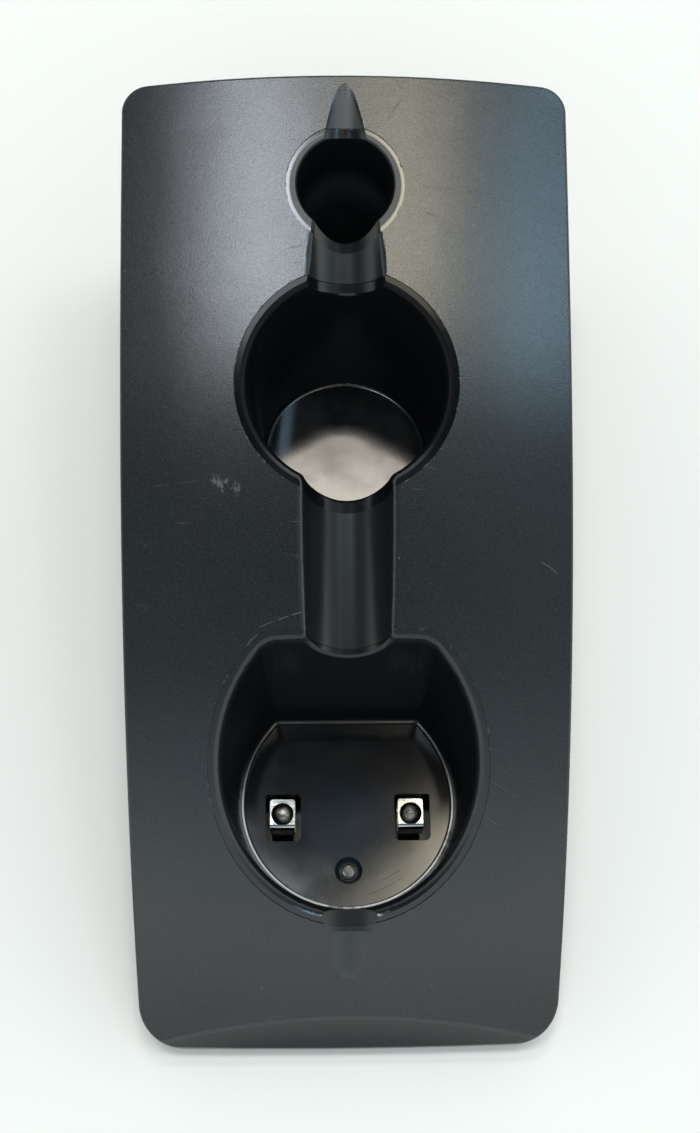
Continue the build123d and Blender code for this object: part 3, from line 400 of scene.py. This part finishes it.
# ------------------------------------------------------------ other materials
def plastic(name, c0, c1, rough, grain_scale=1500.0, grain=0.4, dist=0.00004, slow=40.0):
    M = Mat(name)
    n = M.noise(slow, 3.0, 0.55)
    M.base(M.colour(n, [(0.3, c0), (0.7, c1)]))
    g = M.noise(grain_scale, 3.0, 0.6)
    M.value("Roughness", (g - 0.5) * 0.12 + rough + (n - 0.5) * 0.08)
    M.normal(M.bump(g, grain, dist))
    return M


def metal(name, c0, c1, rough, stretch=(1, 1, 1), scale=900.0, bump=0.15, wear=None):
    M = Mat(name)
    n = M.noise(260.0, 3.0, 0.6)
    M.base(M.colour(n, [(0.3, c0), (0.75, c1)]))
    M.const(Metallic=1.0)
    g = M.noise(scale, 3.0, 0.6, stretch=stretch)
    M.value("Roughness", (g - 0.5) * 0.14 + rough + (n - 0.5) * 0.1)
    M.normal(M.bump(g, bump, 0.00002))
    return M


base_m = plastic("case_base_plastic", (0.012, 0.012, 0.0125), (0.017, 0.017, 0.0175), 0.42, 1800.0, 0.5, 0.00005)
assign("base_plate", base_m)
rubber = plastic("foot_rubber_soft", (0.010, 0.010, 0.010), (0.018, 0.018, 0.018), 0.72, 900.0, 0.5, 0.00005, 120.0)
assign("rubber_feet", rubber)
screw = metal("screw_zinc", (0.50, 0.51, 0.53), (0.62, 0.62, 0.63), 0.28)
for n in ("housing_screws", "board_screws", "jack_retainer_screws"):
    assign(n, screw)
nickel = metal("contact_nickel_plate", (0.44, 0.44, 0.43), (0.53, 0.53, 0.52), 0.15, stretch=(0.25, 1.0, 1.0), scale=2200.0)
for n in ("contact_spring_left", "contact_spring_right", "contact_root_left", "contact_root_right"):
    assign(n, nickel)
brass = metal("terminal_brass_bare", (0.62, 0.46, 0.22), (0.74, 0.58, 0.30), 0.30)
for n in ("contact_terminal_left", "contact_terminal_right", "terminal_rivets"):
    assign(n, brass)


def dome_material():
    M = Mat("dome_gunmetal_pale_top")
    n = M.noise(700.0, 4.0, 0.6)
    fine = M.noise(2600.0, 3.0, 0.6)
    x, v, w = M.coords()
    # the dome is paler at its top, broken by noise
    pale_top = (w + 29.95).step(-0.30, 0.12) * (n * 0.8 + fine * 0.4).step(0.40, 0.68)
    M.base(M.mix(pale_top, M.colour(n, [(0.3, (0.050, 0.048, 0.038)), (0.7, (0.085, 0.082, 0.066))]), (0.40, 0.385, 0.345)))
    M.const(Metallic=1.0)
    M.value("Roughness", 0.34 + pale_top * 0.08 + (fine - 0.5) * 0.15)
    M.normal(M.bump(fine, 0.25, 0.00002))
    return M


dome = dome_material()
for n in ("contact_dome_left", "contact_dome_right"):
    assign(n, dome)

board = plastic("board_mask", (0.010, 0.010, 0.011), (0.016, 0.016, 0.017), 0.35, 500.0, 0.2)
assign("circuit_board", board)
black = plastic("component_epoxy", (0.014, 0.014, 0.014), (0.02, 0.02, 0.02), 0.5)
for n in ("rectifier_diode", "series_resistors", "jack_retainer"):
    assign(n, black)
assign("filter_capacitor", metal("capacitor_aluminium", (0.6, 0.6, 0.62), (0.7, 0.7, 0.72), 0.3))
jackm = plastic("jack_moulding", (0.008, 0.008, 0.008), (0.014, 0.014, 0.014), 0.25, 900.0, 0.2)
assign("dc_jack_body", jackm)
jn = metal("jack_nickel_plate", (0.62, 0.60, 0.56), (0.75, 0.73, 0.70), 0.22)
for n in ("dc_jack_pin", "dc_jack_sleeve_spring", "header_pins"):
    assign(n, jn)
cream = plastic("connector_nylon", (0.62, 0.58, 0.46), (0.72, 0.68, 0.56), 0.45, 900.0, 0.2)
for n in ("board_header", "lead_plug"):
    assign(n, cream)
assign("lead_positive", plastic("lead_red_pvc", (0.35, 0.01, 0.01), (0.45, 0.02, 0.02), 0.38))
assign("lead_negative", plastic("lead_black_pvc", (0.01, 0.01, 0.01), (0.02, 0.02, 0.02), 0.38))
assign("indicator_led", plastic("led_package", (0.7, 0.7, 0.62), (0.8, 0.8, 0.72), 0.3))


def pipe_material():
    M = Mat("light_pipe_smoke")
    n = M.noise(600.0, 3.0, 0.6)
    M.base(M.colour(n, [(0.3, (0.035, 0.036, 0.036)), (0.7, (0.06, 0.06, 0.058))]))
    M.value("Roughness", 0.12 + (n - 0.4).max(0.0) * 0.3)
    M.const(Coat_Weight=0.4, Coat_Roughness=0.08)
    M.normal(M.bump(n, 0.1, 0.00003))
    return M


assign("indicator_light_pipe", pipe_material())


# ---------------------------------------------------------------------- stage
def make_floor():
    me = bpy.data.meshes.new("floor")
    bm = bmesh.new()
    bmesh.ops.create_grid(bm, x_segments=24, y_segments=24, size=1.6)
    bm.to_mesh(me)
    bm.free()
    ob = bpy.data.objects.new("floor", me)
    bpy.context.collection.objects.link(ob)
    ob.location = (0, 0.2, 0)
    M = Mat("floor_pale")
    n = M.noise(3.0, 3.0, 0.5)
    M.base(M.colour(n, [(0.3, (0.905, 0.880, 0.835)), (0.7, (0.925, 0.900, 0.855))]))
    M.const(Roughness=0.6)
    me.materials.append(M.m)
    return ob


make_floor()


# --------------------------------------------------------------------- lights
def softbox(name, elev, azim, dist, size, power, colour, aim=(0, 0.02, 0.04), spread=math.pi):
    """An area light aimed at the stand. azim 0 is behind (+Y), positive to the right."""
    e, a = math.radians(elev), math.radians(azim)
    d = Vector((math.sin(a) * math.cos(e), math.cos(a) * math.cos(e), math.sin(e)))
    la = bpy.data.lights.new(name, "AREA")
    la.shape = "RECTANGLE"
    la.size, la.size_y = size
    la.energy = power
    la.color = colour
    la.spread = spread
    ob = bpy.data.objects.new(name, la)
    bpy.context.collection.objects.link(ob)
    ob.location = Vector(aim) + d * dist
    ob.rotation_euler = (-d).to_track_quat("-Z", "Y").to_euler()
    return ob


softbox("key_cool", 75.2, -31, 2.5, (0.43, 0.40), 12.2, (0.86, 0.92, 1.0))
softbox("key_warm", 75.3, 29, 2.5, (0.40, 0.40), 7.4, (1.0, 0.92, 0.72))
softbox("rear_cream", 58.6, 2.2, 2.5, (0.42, 0.24), 6.6, (1.0, 0.93, 0.82))
softbox("side_blue", 66.0, 62, 2.5, (0.40, 0.40), 5.2, (0.50, 0.78, 1.0))


def make_world():
    """A soft room: pale low walls, a dimmer ceiling, darker behind and brighter in front."""
    world = bpy.data.worlds.new("studio")
    world.use_nodes = True
    nt = world.node_tree
    bg = nt.nodes["Background"]
    tc = nt.nodes.new("ShaderNodeTexCoord")
    sp = nt.nodes.new("ShaderNodeSeparateXYZ")
    nt.links.new(tc.outputs["Generated"], sp.inputs[0])
    dx, dy, dz = (E(nt, sp.outputs[i]) for i in range(3))
    low = dz.step(0.86, 0.40)                              # near the horizon
    front = dy.step(-0.20, -0.72) * dz.step(0.25, 0.60)
    rear = dy.step(0.14, 0.30) * dx.abs().step(0.62, 0.30)
    right = dx.step(0.10, 0.40) * dy.step(-0.55, -0.25)
    glow = dz.step(0.928, 0.958) * (dx.abs()).step(0.16, 0.07) * dy.step(0.10, 0.20)
    level = low * 1.03 + 0.17 + front * 0.82 + right * 0.32 - dy.step(-0.75, -0.95) * 0.30
    level = level * (1.0 - rear * 0.85 * dz.step(0.62, 0.80)) + glow * 0.25
    mixc = nt.nodes.new("ShaderNodeMix")
    mixc.data_type = "RGBA"
    nt.links.new(low.sock, mixc.inputs["Factor"])
    mixc.inputs[6].default_value = (0.72, 0.88, 1.0, 1.0)
    mixc.inputs[7].default_value = (0.955, 1.0, 0.98, 1.0)
    nt.links.new(mixc.outputs[2], bg.inputs["Color"])
    nt.links.new(level.sock, bg.inputs["Strength"])
    bpy.context.scene.world = world


make_world()
bpy.context.scene.view_settings.view_transform = "Standard"
